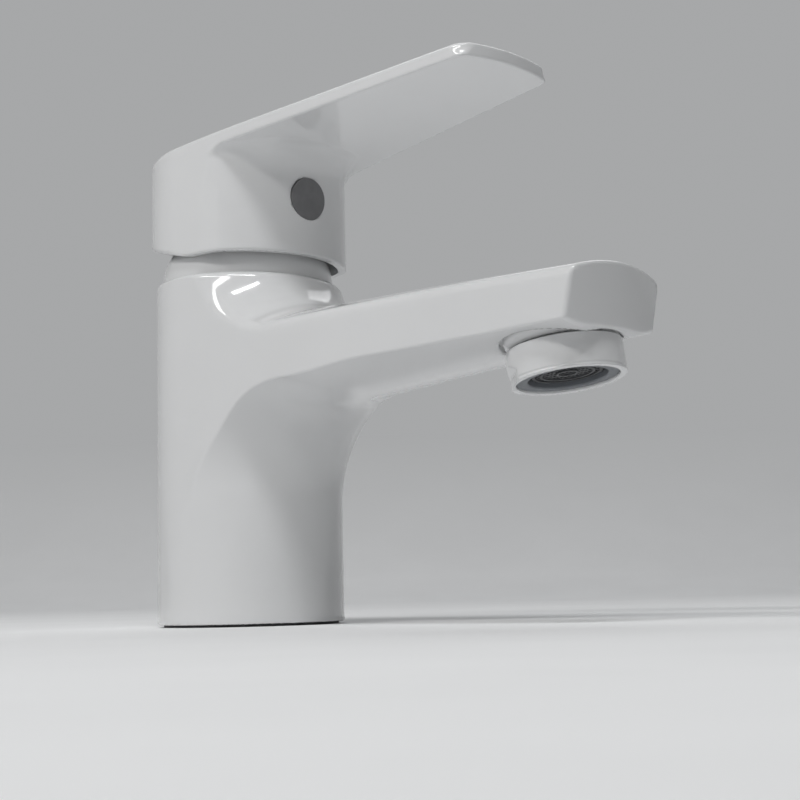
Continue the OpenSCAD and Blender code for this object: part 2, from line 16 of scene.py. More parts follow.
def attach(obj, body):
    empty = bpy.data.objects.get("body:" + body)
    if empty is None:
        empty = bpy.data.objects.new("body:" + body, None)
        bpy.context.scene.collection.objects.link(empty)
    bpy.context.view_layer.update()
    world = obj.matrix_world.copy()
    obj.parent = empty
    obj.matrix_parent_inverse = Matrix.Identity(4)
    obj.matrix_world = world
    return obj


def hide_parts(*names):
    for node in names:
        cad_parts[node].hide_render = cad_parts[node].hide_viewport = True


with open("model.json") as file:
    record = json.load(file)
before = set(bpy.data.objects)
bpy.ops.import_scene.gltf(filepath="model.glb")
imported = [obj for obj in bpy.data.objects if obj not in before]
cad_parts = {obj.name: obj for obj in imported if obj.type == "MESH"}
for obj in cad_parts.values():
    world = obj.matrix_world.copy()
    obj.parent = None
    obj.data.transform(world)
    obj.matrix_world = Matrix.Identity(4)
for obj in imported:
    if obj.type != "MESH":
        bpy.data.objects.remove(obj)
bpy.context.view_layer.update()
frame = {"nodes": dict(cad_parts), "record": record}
MM = 0.001

# ---- Sizes in millimetres, in the frame of the CAD ----
# A SPAN says where a value starts to change, and over what length it goes to the next one.

# How far a wall runs on past a face that it has to meet
PAST = 1.0

# Column and collar
COLUMN_R = 24.0
BASE_LOW = 0.6
BASE_EDGE_R = 0.5
COLLAR_TOP = 88.2
SHOULDER_R = 1.6

# Spout: side faces tangent to the column, crown, belly and nose
SIDE_TURN = math.radians(85.65)
CROWN_R = 45.0
CREST_END = (123.7, 73.65)
CREST_RISE = 0.055
CREST_SAG = 0.00018
CREST_REACH = (-5, 115)
NOSE_X = 122.9
NOSE_H = 70.0
NOSE_LEAN = math.radians(12.5)
NOSE_R = 92.0
NOSE_EDGE_R = 0.9
NECK_R = 16.0
NECK_WALL = (-3.3, 26.8)
KEEL_H = 52.9
KEEL_RISE = 0.045
KEEL_LIFT = 0.6
KEEL_SPAN = (55, 40)
BELLY_R = 45.0
BELLY_FLATTER = 12.0
BELLY_SPAN = (55, 45)
LOW_EDGE_R = 0.35
STRIP_END = (123.0, 61.7)
STRIP_ANGLE = math.radians(30)
STRIP_EDGE_R = 0.3

# Spout's top edges: their radius at the column, where they leave it, and at the nose
EDGE_COLUMN_R = 0.4
EDGE_ROOT_R = 1.4
EDGE_ROOT_SPAN = (1, 12)
EDGE_NOSE_R = 2.0
EDGE_NOSE_SPAN = (20, 95)

# Scoop from the column to the belly: a long arc and a tighter one, in radius and height
SCOOP_H = 30.2
SCOOP_R = 39.0
SCOOP_TURN = math.radians(36)
SCOOP_TOP = 59.6
SCOOP_LIFT_R = 40.0
CREASE = 8.0

# Hollows of the body, and the bosses that take the stud and the hoses
CAVITY_R = 19.0
CAVITY_TOP = 32.0
BOSS_LOW = 12.0
STUD = (-9.0, 0.0)
STUD_R = 4.0
STUD_BOSS_R = 7.0
STUD_DEPTH = 14.0
INLETS = ((6.0, 9.5), (6.0, -9.5))
INLET_R = 5.0
INLET_BOSS_R = 8.0
INLET_DEPTH = 12.0
SEAT_R = 17.7
SEAT_H = 57.0
NUT_R = 19.0
NUT_H = 82.2
SEAL_R = 21.5
SEAL_HALF_W = 1.0
SEAL_TOP = 3.0

# Outlet: its place, and the recess that holds the aerator
OUTLET = (108.0, 50.8)
OUTLET_TILT = math.radians(8)
RECESS_R = 13.15
RECESS_SHIFT = -0.35
RECESS_DEPTH = 10.5
RECESS_EDGE_R = 0.6
NIPPLE_R = 11.0
NIPPLE_LOW = 7.4
NIPPLE_BORE_R = 8.5
NIPPLE_BORE_TOP = 17.5

# Aerator housing: a groove over its lip, a wrench flat and a bulged shoulder
HOUSING_R = 12.6
HOUSING_TOP = 7.25
HOUSING_BORE_R = 11.05
HOUSING_EDGE_R = 0.25
BULGE = (10.2, 9.9)
BULGE_R = 2.45
BULGE_TOP = 10.45
LIP_H = 0.6
LIP_GROOVE_R = 0.3
LIP_GROOVE_OUT = 0.16
FLAT_TURN = math.radians(-130)
FLAT_OUT = 11.4
FLAT_TOP = 2.3
FLAT_RAMP = 0.7
FLAT_EDGE_R = 0.12

# Ring inside the aerator's mouth, and the grid of bars and ribs in front of its plate
RING_R = 11.1
RING_BORE_R = 8.5
RING_LOW = 0.5
RING_TOP = 6.0
RING_EDGE_R = 0.3
RING_BORE_EDGE_R = 0.4
GRID_LOW = 1.5
GRID_PITCH = 1.15
GRID_BAR_STEP = 0.35
GRID_BAR_HALF_W = 0.2
GRID_RIBS = (2.1, 5.6, 7.2)
GRID_RIB_HALF_W = 0.28
GRID_PLATE_STEP = 1.0
GRID_GAP = 0.05

# Handle: outline of the cap and lever, and the lever's upper and lower faces
BACK_R = 24.4
BACK_X = -1.5
LEVER_TURN = math.radians(83.85)
FRONT_X = 25.2
FRONT_R = 28.2
LEVER_TOP = 122.8
LEVER_RISE = 0.0385
LEVER_LOW = 119.1
LEVER_LOW_RISE = 0.0435
LEVER_TIP = 95.9
TIP_R = 44.6
FRONT_FILLET = 8.0
SIDE_FILLET = 3.0
SIDE_FILLET_SPAN = (12, 10)

# Handle's edges: a least radius each, and what is added to it where the edge is softer
TIP_CORNER_R = 1.2
TIP_CORNER_MORE = 2.0
TIP_CORNER_SPAN = (-0.5, 3)
OUTLINE_EDGE_R = 0.5
OUTLINE_EDGE_MORE = 1.2
OUTLINE_EDGE_SPAN = (108, 9)
TOP_EDGE_R = 0.8
TOP_EDGE_MORE = 1.4
TOP_EDGE_SPAN = (-10, 30)
RIM_EDGE_R = 0.5
RIM_EDGE_MORE = 1.3

# Handle's rim, level in front and rising behind with a soft bend between, the hollow of the
# cap, and the socket of the stem
RIM_H = 93.2
RIM_STEP = (3.5, -24.0)
RIM_SLOPE = 0.284
RIM_BEND = 2.0
CAP_WALL = 2.2
CAP_CORNER_R = 1.0
CAP_ROOF_R = 1.5
PIVOT_H = 95.0
STEM_TILT = math.radians(11)
BOSS_R = 10.5
INSERT_R = 7.5
INSERT_LOW = 7.0
INSERT_TOP = 20.4
PLUG_H = 107.8
PLUG_R = 5.45
PLUG_T = 2.6
PLUG_TILT = math.radians(4.5)
PLUG_DEPTH = 1.5
PLUG_EDGE_R = 0.3


# ---- Distance fields: negative inside, positive outside ----

def filleted(a, b, radius):
    """Both solids together, with a hollow curve of that radius between them."""
    corner = np.hypot(np.maximum(radius - a, 0), np.maximum(radius - b, 0))
    return np.maximum(radius, np.minimum(a, b)) - corner


def rounded(a, b, radius):
    """What both solids share, with a rounded edge of that radius."""
    return -filleted(-a, -b, radius)


def merged(a, b, reach):
    """Both solids together, run smoothly into each other where their fields are that close."""
    share = np.maximum(reach - np.abs(a - b), 0) / reach
    return np.minimum(a, b) - share**3 * reach / 6


def eased(place, start, length):
    """Goes smoothly from 0 to 1 over that length."""
    t = np.clip((place - start) / length, 0, 1)
    return t * t * (3 - 2 * t)


def tapered(x, y, back_x, back_r, turn):
    """Plan with a round back and two flat sides that leave it at that angle."""
    along = x - back_x
    side = along * math.cos(turn) + np.abs(y) * math.sin(turn) - back_r
    beyond = along * math.sin(turn) - np.abs(y) * math.cos(turn) > 0
    return np.where(beyond, side, np.hypot(along, y) - back_r)


def scoop(rho, z):
    """Underside that leads from the column out to the belly."""
    c, s = math.cos(SCOOP_TURN), math.sin(SCOOP_TURN)
    centre = COLUMN_R + SCOOP_R
    dx, dz = np.minimum(rho - centre, 0), np.maximum(z - SCOOP_H, 0)
    long_arc = SCOOP_R - np.hypot(dx, dz)
    end_rho, end_h = centre - SCOOP_R * c, SCOOP_H + SCOOP_R * s
    tight_r = (SCOOP_TOP - end_h) / (1 - s)
    tight_rho, tight_h = end_rho + tight_r * c, SCOOP_TOP - tight_r
    tight_arc = tight_r - np.hypot(np.minimum(rho - tight_rho, 0), np.maximum(z - tight_h, 0))
    past = np.maximum(rho - tight_rho, 0)
    tight_arc = tight_arc + past**2 / (2 * SCOOP_LIFT_R)
    return np.where(-c * dz - s * dx > 0, long_arc, tight_arc)


def outlet_axes(x, z):
    """Distance forward of the outlet's axis, and height above the outlet along it."""
    dx, dz = x - OUTLET[0], z - OUTLET[1]
    up = -dx * math.sin(OUTLET_TILT) + dz * math.cos(OUTLET_TILT)
    across = dx * math.cos(OUTLET_TILT) + dz * math.sin(OUTLET_TILT)
    return across, up


def spout_field(x, y, z):
    """Spout from inside the column to the nose, without its hollows."""
    behind = np.clip(CREST_END[0] - x, *CREST_REACH)
    crest = CREST_END[1] + CREST_RISE * behind - CREST_SAG * behind**2
    crown = np.hypot(y, z - crest + CROWN_R) - CROWN_R
    wall = np.hypot(x - NECK_WALL[0], y) - NECK_WALL[1]
    upper = rounded(filleted(wall, crown, NECK_R), z - COLLAR_TOP, SHOULDER_R)
    keel = KEEL_H + KEEL_RISE * x + KEEL_LIFT * eased(x, *KEEL_SPAN)
    belly_r = BELLY_R + BELLY_FLATTER * eased(x, *BELLY_SPAN)
    belly = np.hypot(y, z - keel - belly_r) - belly_r
    lower = merged(belly, scoop(np.hypot(x, y), z), CREASE)
    plan = tapered(x, y, 0.0, COLUMN_R, SIDE_TURN)
    edge_r = EDGE_COLUMN_R + (EDGE_ROOT_R - EDGE_COLUMN_R) * eased(x, *EDGE_ROOT_SPAN)
    edge_r += (EDGE_NOSE_R - EDGE_ROOT_R) * eased(x, *EDGE_NOSE_SPAN)
    solid = rounded(rounded(plan, upper, edge_r), lower, LOW_EDGE_R)
    ahead = (x - NOSE_X) * math.cos(NOSE_LEAN) - (z - NOSE_H) * math.sin(NOSE_LEAN)
    solid = rounded(solid, np.hypot(ahead + NOSE_R, y) - NOSE_R, NOSE_EDGE_R)
    strip_h = STRIP_END[1] - (STRIP_END[0] - x) * math.tan(STRIP_ANGLE)
    return rounded(solid, (strip_h - z) * math.cos(STRIP_ANGLE), STRIP_EDGE_R)


def base_cuts(x, y, z):
    """Cavity in the base round the bosses, the bosses' holes and the seal's groove."""
    rho = np.hypot(x, y)
    cavity = np.maximum(rho - CAVITY_R, z - CAVITY_TOP)
    stud = np.hypot(x - STUD[0], y - STUD[1])
    cavity = np.maximum(cavity, -np.maximum(stud - STUD_BOSS_R, BOSS_LOW - z))
    holes = np.maximum(stud - STUD_R, z - BOSS_LOW - STUD_DEPTH)
    for px, py in INLETS:
        inlet = np.hypot(x - px, y - py)
        cavity = np.maximum(cavity, -np.maximum(inlet - INLET_BOSS_R, BOSS_LOW - z))
        holes = np.minimum(holes, np.maximum(inlet - INLET_R, z - BOSS_LOW - INLET_DEPTH))
    groove = np.maximum(np.abs(rho - SEAL_R) - SEAL_HALF_W, z - SEAL_TOP)
    return cavity, holes, groove


def body_field(x, y, z):
    """Column and spout in one casting, with their hollows."""
    rho = np.hypot(x, y)
    column = rounded(rho - COLUMN_R, z - COLLAR_TOP, SHOULDER_R)
    solid = np.minimum(spout_field(x, y, z), column)
    solid = rounded(solid, BASE_LOW - z, BASE_EDGE_R)
    across, up = outlet_axes(x, z)
    around = np.hypot(across, y)
    recess = np.maximum(np.hypot(across - RECESS_SHIFT, y) - RECESS_R, up - RECESS_DEPTH)
    nipple = np.maximum(np.maximum(around - NIPPLE_R, NIPPLE_LOW - up), up - RECESS_DEPTH - PAST)
    recess = np.maximum(recess, -nipple)
    bore = np.maximum(around - NIPPLE_BORE_R, up - NIPPLE_BORE_TOP)
    seat = np.maximum(rho - SEAT_R, SEAT_H - z)
    nut = np.maximum(rho - NUT_R, NUT_H - z)
    for cut in (*base_cuts(x, y, z), seat, nut, bore):
        solid = np.maximum(solid, -cut)
    return rounded(solid, -recess, RECESS_EDGE_R)


def handle_outside(x, y, z, front):
    """Cap and lever without the hollow, where front is the distance from the cap's front."""
    top = (z - LEVER_TOP - LEVER_RISE * x) / math.hypot(1, LEVER_RISE)
    low = (LEVER_LOW + LEVER_LOW_RISE * x - z) / math.hypot(1, LEVER_LOW_RISE)
    plan = tapered(x, y, BACK_X, BACK_R, LEVER_TURN)
    tip_x = LEVER_TIP - TIP_R
    tip = np.hypot(np.maximum(x - tip_x, 0), y) - TIP_R
    fillet_share = eased(np.abs(y), *SIDE_FILLET_SPAN)
    solid = filleted(front, low, FRONT_FILLET + (SIDE_FILLET - FRONT_FILLET) * fillet_share)
    corner_r = TIP_CORNER_R + TIP_CORNER_MORE * eased(-low, *TIP_CORNER_SPAN)
    outline_r = OUTLINE_EDGE_R + OUTLINE_EDGE_MORE * (1 - eased(z, *OUTLINE_EDGE_SPAN))
    solid = rounded(solid, rounded(plan, tip, corner_r), outline_r)
    solid = rounded(solid, top, TOP_EDGE_R + TOP_EDGE_MORE * (1 - eased(x, *TOP_EDGE_SPAN)))
    behind = np.minimum(RIM_STEP[0] - x, RIM_STEP[0] - RIM_STEP[1])
    back = np.maximum(behind, 0) / (RIM_STEP[0] - RIM_STEP[1])
    rise = RIM_SLOPE * (behind + np.hypot(behind, RIM_BEND)) / 2
    rim = RIM_H + rise - z
    return rounded(solid, rim, RIM_EDGE_R + RIM_EDGE_MORE * back)


def handle_field(x, y, z):
    """Cap and lever in one casting, with the hollow, the stem's socket and the plug's pocket."""
    front = np.hypot(x - FRONT_X + FRONT_R, y) - FRONT_R
    inner = tapered(x, y, BACK_X, BACK_R - CAP_WALL, LEVER_TURN)
    hollow = rounded(inner, front + CAP_WALL, CAP_CORNER_R)
    hollow = rounded(hollow, z - LEVER_LOW, CAP_ROOF_R)
    dz = z - PIVOT_H
    across = x * math.cos(STEM_TILT) - dz * math.sin(STEM_TILT)
    up = x * math.sin(STEM_TILT) + dz * math.cos(STEM_TILT)
    around = np.hypot(across, y)
    boss = np.maximum(around - BOSS_R, INSERT_LOW - up)
    hollow = np.maximum(hollow, -boss)
    socket = np.maximum(around - INSERT_R, up - INSERT_TOP)
    dx, dz = x - FRONT_X, z - PLUG_H
    out = dx * math.cos(PLUG_TILT) - dz * math.sin(PLUG_TILT)
    beside = np.hypot(dx * math.sin(PLUG_TILT) + dz * math.cos(PLUG_TILT), y)
    pocket = np.maximum(beside - PLUG_R, -PLUG_DEPTH - PLUG_T - out)
    solid = np.maximum(handle_outside(x, y, z, front), -hollow)
    solid = np.maximum(solid, -socket)
    return rounded(solid, -pocket, PLUG_EDGE_R)


def housing_field(x, y, z):
    """Aerator housing, in the outlet's own axes: a lipped ring under a bulged shoulder."""
    around = np.hypot(x, y)
    solid = rounded(around - HOUSING_R, z - HOUSING_TOP, HOUSING_EDGE_R)
    groove = LIP_GROOVE_R - np.hypot(around - HOUSING_R - LIP_GROOVE_OUT, z - LIP_H)
    solid = np.maximum(solid, groove)
    out = x * math.cos(FLAT_TURN) + y * math.sin(FLAT_TURN) - FLAT_OUT
    ledge = (out - FLAT_RAMP * (z - FLAT_TOP)) / math.hypot(1, FLAT_RAMP)
    solid = rounded(solid, np.minimum(out, ledge), FLAT_EDGE_R)
    solid = rounded(solid, -z, HOUSING_EDGE_R)
    bulge = np.hypot(around - BULGE[0], z - BULGE[1]) - BULGE_R
    bulge = np.maximum(bulge, z - BULGE_TOP)
    return rounded(np.minimum(solid, bulge), HOUSING_BORE_R - around, HOUSING_EDGE_R)


def ring_field(x, y, z):
    """Ring in the aerator's mouth, in the outlet's own axes."""
    around = np.hypot(x, y)
    solid = rounded(around - RING_R, RING_LOW - z, RING_EDGE_R)
    solid = rounded(solid, RING_BORE_R - around, RING_BORE_EDGE_R)
    return np.maximum(solid, z - RING_TOP)


def grid_field(x, y, z):
    """Round grid of bars and ribs in front of a plate, in the outlet's own axes."""
    around = np.hypot(x, y)
    bars = np.minimum(*[np.abs(np.mod(c, GRID_PITCH) - GRID_PITCH / 2) for c in (x, y)])
    front = np.maximum(bars - GRID_BAR_HALF_W, GRID_LOW + GRID_BAR_STEP - z)
    for rib in GRID_RIBS:
        across = np.abs(around - rib) - GRID_RIB_HALF_W
        front = np.minimum(front, np.maximum(across, GRID_LOW - z))
    front = np.minimum(front, GRID_LOW + GRID_PLATE_STEP - z)
    return np.maximum(np.maximum(front, around - RING_BORE_R + GRID_GAP), z - RING_TOP)


# ---- Meshing ----

# Steps of the numerical gradient, for places and for normals
PLACE_STEP = 0.03
NORMAL_STEP = 0.06
# Rounds of each search, and the farthest that one of them moves a point
ROUNDS = 4
REACH = 0.3
# Length that takes the place of none, to divide by
TINY = 1e-9
# Least value that a gradient's square is taken to have
LEAST_SLOPE = 0.05
# Weight of the crossings' mean in a cell, beside that of the tangent planes
MEAN_WEIGHT = 0.05
# How far a cell's normals spread if its point lies on an edge, and if it lies on a corner
EDGE_SPREAD = 0.06
CORNER_SPREAD = 0.02
# Share of the way to the middle of its neighbours that a point goes in a round
RELAX_SHARE = 0.5
# How far inside a quad its own normals are taken, and the cosine below which they are used
INSET = 0.4
SHARP_COSINE = 0.93


def gradient(field, points, h=PLACE_STEP):
    """How the field changes along each axis, from its values at either side of the points."""
    columns = []
    for axis in range(3):
        step = np.zeros(3)
        step[axis] = h
        columns.append((field(*(points + step).T) - field(*(points - step).T)) / (2 * h))
    return np.stack(columns, 1)


def settle(field, points):
    """Moves points onto the surface along the field's gradient."""
    for _ in range(ROUNDS):
        slope = gradient(field, points)
        steepness = np.maximum((slope**2).sum(1), LEAST_SLOPE)
        move = (field(*points.T) / steepness)[:, None] * slope
        length = np.linalg.norm(move, axis=1, keepdims=True)
        points = points - move * np.minimum(1, REACH / np.maximum(length, TINY))
    return points


def slopes(field, points, h=PLACE_STEP):
    """Unit gradients of the field."""
    slope = gradient(field, points, h)
    return slope / np.maximum(np.linalg.norm(slope, axis=1, keepdims=True), TINY)


def spaced(low, high, coarse, fine, *bands):
    """Grid lines from low to high, closer together inside the bands."""
    lines = [low]
    while lines[-1] < high:
        close = any(start <= lines[-1] < end for start, end in bands)
        lines.append(lines[-1] + (fine if close else coarse))
    return np.array(lines)


def crossed_cells(inside):
    """The cells that the surface passes through, and a grid of their numbers."""
    shape = [n - 1 for n in inside.shape]
    count = np.zeros(shape, np.int8)
    for i in (0, 1):
        for j in (0, 1):
            for k in (0, 1):
                count += inside[i:i + shape[0], j:j + shape[1], k:k + shape[2]]
    cells = np.argwhere((count > 0) & (count < 8))
    number = np.full(shape, -1, np.int64)
    number[tuple(cells.T)] = np.arange(len(cells))
    return cells, number


def crossed_edges(field, lines, value, axis):
    """Grid edges along one axis that cross the surface.

    Gives their first ends, whether those lie inside, and the points of crossing.
    """
    inside = value < 0
    lead = [slice(None)] * 3
    tail = [slice(None)] * 3
    lead[axis], tail[axis] = slice(0, -1), slice(1, None)
    edges = np.argwhere(inside[tuple(lead)] != inside[tuple(tail)])
    ends = edges.copy()
    ends[:, axis] += 1
    points = np.stack([lines[n][edges[:, n]] for n in range(3)], 1)
    low, high = points[:, axis].copy(), lines[axis][ends[:, axis]]
    at_low, at_high = value[tuple(edges.T)], value[tuple(ends.T)]
    for _ in range(ROUNDS):
        points[:, axis] = low + (high - low) * at_low / (at_low - at_high)
        here = field(*points.T)
        same = (here < 0) == (at_low < 0)
        low, at_low = np.where(same, points[:, axis], low), np.where(same, here, at_low)
        high, at_high = np.where(same, high, points[:, axis]), np.where(same, at_high, here)
    return edges, inside[tuple(edges.T)], points


def cells_round(edges, axis, number):
    """Numbers of the four cells round each grid edge, in turn."""
    b, c = [n for n in range(3) if n != axis]
    around = []
    for db, dc in ((-1, -1), (0, -1), (0, 0), (-1, 0)):
        cell = edges.copy()
        cell[:, b] += db
        cell[:, c] += dc
        around.append(number[tuple(cell.T)])
    return around


def gathered(field, lines, value, number, total):
    """The surface's quads, and what is known of each cell from the crossings on its edges.

    That is how many there are, their mean, and the sums that their tangent planes add to the
    equations for the cell's point, seen from that mean.
    """
    hits, mean = np.zeros(total), np.zeros((total, 3))
    planes, shift = np.zeros((total, 3, 3)), np.zeros((total, 3))
    quads = []
    for axis in range(3):
        edges, starts_inside, points = crossed_edges(field, lines, value, axis)
        slope = slopes(field, points)
        offset = (slope * points).sum(1)
        around = cells_round(edges, axis, number)
        for at in around:
            hits += np.bincount(at, minlength=total)
            for i in range(3):
                mean[:, i] += np.bincount(at, points[:, i], total)
                shift[:, i] += np.bincount(at, slope[:, i] * offset, total)
                for j in range(3):
                    planes[:, i, j] += np.bincount(at, slope[:, i] * slope[:, j], total)
        quad = np.stack(around, 1)
        flip = starts_inside == (axis == 1)
        quad[flip] = quad[flip][:, ::-1]
        quads.append(quad)
    mean /= hits[:, None]
    shift -= np.einsum("nij,nj->ni", planes, mean)
    return np.concatenate(quads), hits, mean, planes, shift


def neighbours_middle(points, quads):
    near = np.zeros_like(points)
    links = np.zeros(len(points))
    for n in range(4):
        here, there = quads[:, n], quads[:, (n + 1) % 4]
        for p, q in ((here, there), (there, here)):
            for column in range(3):
                near[:, column] += np.bincount(p, points[q, column], len(points))
            links += np.bincount(p, minlength=len(points))
    return near / links[:, None]


def relaxed(field, points, quads, along_edge, on_edge, on_corner):
    """Evens the points out over the surface, those on an edge only along it."""
    for _ in range(ROUNDS):
        pull = neighbours_middle(points, quads) - points
        slope = slopes(field, points)
        pull -= (pull * slope).sum(1, keepdims=True) * slope
        along = (pull * along_edge).sum(1, keepdims=True) * along_edge
        pull[on_edge] = along[on_edge]
        pull[on_corner] = 0
        points = settle(field, points + RELAX_SHARE * pull)
    return points


def corner_normals(field, points, quads):
    """A normal for each corner of each quad, from inside the quad where an edge is near."""
    normals = slopes(field, points, NORMAL_STEP)[quads]
    corners = points[quads]
    middle = corners.mean(1, keepdims=True)
    inner = (corners + INSET * (middle - corners)).reshape(-1, 3)
    own = slopes(field, inner, NORMAL_STEP).reshape(normals.shape)
    sharp = (own * normals).sum(2) < SHARP_COSINE
    normals[sharp] = own[sharp]
    return normals.reshape(-1, 3)


def skin(field, lines):
    """Closed surface of a field over a grid: points, quads, and a normal for each corner.

    Each cell's point is where the surface's tangent planes in that cell meet, so that edges
    stay sharp and in line.
    """
    size = len(lines[1]), len(lines[2])
    across, up = lines[1][:, None], lines[2][None, :]
    value = np.stack([field(np.full(size, x), across, up) for x in lines[0]])
    cells, number = crossed_cells(value < 0)
    quads, hits, mean, planes, shift = gathered(field, lines, value, number, len(cells))
    move = np.linalg.solve(planes + MEAN_WEIGHT * np.eye(3), shift[:, :, None])[:, :, 0]
    low = np.stack([lines[n][cells[:, n]] for n in range(3)], 1)
    high = np.stack([lines[n][cells[:, n] + 1] for n in range(3)], 1)
    points = settle(field, np.clip(mean + move, low, high))
    spread, way = np.linalg.eigh(planes / hits[:, None, None])
    on_edge, on_corner = spread[:, 1] > EDGE_SPREAD, spread[:, 0] > CORNER_SPREAD
    points = relaxed(field, points, quads, way[:, :, 0], on_edge, on_corner)
    return points, quads, corner_normals(field, points, quads)


def at_outlet(points, origin=(0, 0)):
    """Turns points or normals from the outlet's own axes into the frame's."""
    c, s = math.cos(OUTLET_TILT), math.sin(OUTLET_TILT)
    x = origin[0] + points[:, 0] * c - points[:, 2] * s
    z = origin[1] + points[:, 0] * s + points[:, 2] * c
    return np.stack([x, points[:, 1], z], 1)


def surface_object(name, field, lines, outlet):
    """Mesh object of a field, which is in the outlet's own axes if outlet is true."""
    points, quads, normals = skin(field, lines)
    if outlet:
        points, normals = at_outlet(points, OUTLET), at_outlet(normals)
    mesh = bpy.data.meshes.new(name)
    mesh.from_pydata((points * MM).tolist(), [], quads.tolist())
    mesh.update()
    mesh.shade_smooth()
    mesh.normals_split_custom_set(normals.tolist())
    obj = bpy.data.objects.new(name, mesh)
    bpy.context.scene.collection.objects.link(obj)
    return obj


# ---- Materials ----

COAT_ROUGHNESS = 0.04
BUMP_DISTANCE = 0.0002
# Part of a noise's range that colours and roughness are spread over
COLOUR_NOISE = (0.35, 0.65)
ROUGH_NOISE = (0.3, 0.7)
BROAD_DETAIL = 3
FINE_DETAIL = 4


def new_material(name):
    material = bpy.data.materials.new(name)
    material.use_nodes = True
    nodes, links = material.node_tree.nodes, material.node_tree.links
    return material, nodes, links, nodes["Principled BSDF"]


def noise_texture(nodes, links, scale, detail, stretch=(1, 1, 1)):
    coords = nodes.new("ShaderNodeTexCoord")
    mapping = nodes.new("ShaderNodeMapping")
    mapping.inputs["Scale"].default_value = stretch
    noise = nodes.new("ShaderNodeTexNoise")
    noise.inputs["Scale"].default_value = scale
    noise.inputs["Detail"].default_value = detail
    links.new(coords.outputs["Object"], mapping.inputs["Vector"])
    links.new(mapping.outputs["Vector"], noise.inputs["Vector"])
    return noise


def ramp(nodes, links, source, low, high, reach=COLOUR_NOISE):
    """Colour that goes from low to high as the source goes over the reach."""
    node = nodes.new("ShaderNodeValToRGB")
    node.color_ramp.elements[0].position = reach[0]
    node.color_ramp.elements[1].position = reach[1]
    node.color_ramp.elements[0].color = low
    node.color_ramp.elements[1].color = high
    links.new(source, node.inputs["Fac"])
    return node


def map_range(nodes, links, source, from_range, to_range=(0, 1)):
    node = nodes.new("ShaderNodeMapRange")
    node.inputs["From Min"].default_value = from_range[0]
    node.inputs["From Max"].default_value = from_range[1]
    node.inputs["To Min"].default_value = to_range[0]
    node.inputs["To Max"].default_value = to_range[1]
    links.new(source, node.inputs["Value"])
    return node


def surface_material(
    name, colour, spread, rough, rough_spread, grain, fine, bump,
    metallic=0.0, coat=0.0, stretch=(1, 1, 1),
):
    """A material whose colour and roughness wander with noises, with a fine bump.

    Grain and fine are the scales of the two noises, stretch draws them out along an axis.
    """
    material, nodes, links, shader = new_material(name)
    shader.inputs["Metallic"].default_value = metallic
    shader.inputs["Coat Weight"].default_value = coat
    shader.inputs["Coat Roughness"].default_value = COAT_ROUGHNESS
    broad = noise_texture(nodes, links, grain, BROAD_DETAIL, stretch)
    dark = [max(c - spread, 0) for c in colour] + [1]
    light = [min(c + spread, 1) for c in colour] + [1]
    tint = ramp(nodes, links, broad.outputs["Fac"], dark, light)
    links.new(tint.outputs["Color"], shader.inputs["Base Color"])
    small = noise_texture(nodes, links, fine, FINE_DETAIL, stretch)
    rough_range = (rough - rough_spread, rough + rough_spread)
    roughness = map_range(nodes, links, small.outputs["Fac"], ROUGH_NOISE, rough_range)
    links.new(roughness.outputs["Result"], shader.inputs["Roughness"])
    relief = nodes.new("ShaderNodeBump")
    relief.inputs["Strength"].default_value = bump
    relief.inputs["Distance"].default_value = BUMP_DISTANCE
    links.new(small.outputs["Fac"], relief.inputs["Height"])
    links.new(relief.outputs["Normal"], shader.inputs["Normal"])
    return material


ENAMEL = surface_material(
    "glossy_white_enamel", (0.76, 0.765, 0.77), spread=0.008,
    rough=0.11, rough_spread=0.02, grain=30, fine=420, bump=0.03, coat=0.5,
)
DARK_PLUG = surface_material(
    "dark_index_plug", (0.17, 0.17, 0.175), spread=0.012,
    rough=0.38, rough_spread=0.05, grain=300, fine=2600, bump=0.12,
)
STEEL = surface_material(
    "drawn_stainless", (0.60, 0.60, 0.59), spread=0.03,
    rough=0.27, rough_spread=0.06, grain=120, fine=900, bump=0.10,
    metallic=1.0, stretch=(1, 1, 0.1),
)
BRASS = surface_material(
    "turned_brass", (0.72, 0.53, 0.25), spread=0.03,
    rough=0.24, rough_spread=0.05, grain=140, fine=1100, bump=0.08,
    metallic=1.0, stretch=(0.2, 0.2, 1),
)
RUBBER = surface_material(
    "moulded_rubber", (0.035, 0.035, 0.037), spread=0.006,
    rough=0.62, rough_spread=0.06, grain=160, fine=1500, bump=0.30,
)
GREY_PLASTIC = surface_material(
    "grey_moulding", (0.15, 0.16, 0.175), spread=0.012,
    rough=0.42, rough_spread=0.05, grain=160, fine=1700, bump=0.18,
)
WHITE_PLASTIC = surface_material(
    "white_moulding", (0.74, 0.74, 0.72), spread=0.012,
    rough=0.40, rough_spread=0.05, grain=160, fine=1700, bump=0.14,
)
RED_PLASTIC = surface_material(
    "red_moulding", (0.58, 0.06, 0.05), spread=0.02,
    rough=0.40, rough_spread=0.05, grain=160, fine=1700, bump=0.14,
)
CERAMIC = surface_material(
    "lapped_ceramic", (0.80, 0.79, 0.75), spread=0.01,
    rough=0.16, rough_spread=0.03, grain=200, fine=1600, bump=0.05,
)
MESH_DARK = surface_material(
    "outlet_grid", (0.06, 0.062, 0.065), spread=0.012,
    rough=0.45, rough_spread=0.06, grain=260, fine=1800, bump=0.25,
)

FINISHES = {
    "enamel": ENAMEL,
    "brass": BRASS,
    "stainless": STEEL,
    "rubber": RUBBER,
    "grey_plastic": GREY_PLASTIC,
    "white_plastic": WHITE_PLASTIC,
    "red_plastic": RED_PLASTIC,
    "ceramic": CERAMIC,
    "dark_plug": DARK_PLUG,
}


def paint(obj, material):
    obj.data.materials.clear()
    obj.data.materials.append(material)


# ---- Pieces ----

for part in frame["record"]["subparts"]:
    paint(frame["nodes"][part["node"]], FINISHES[part["material_slot"]])


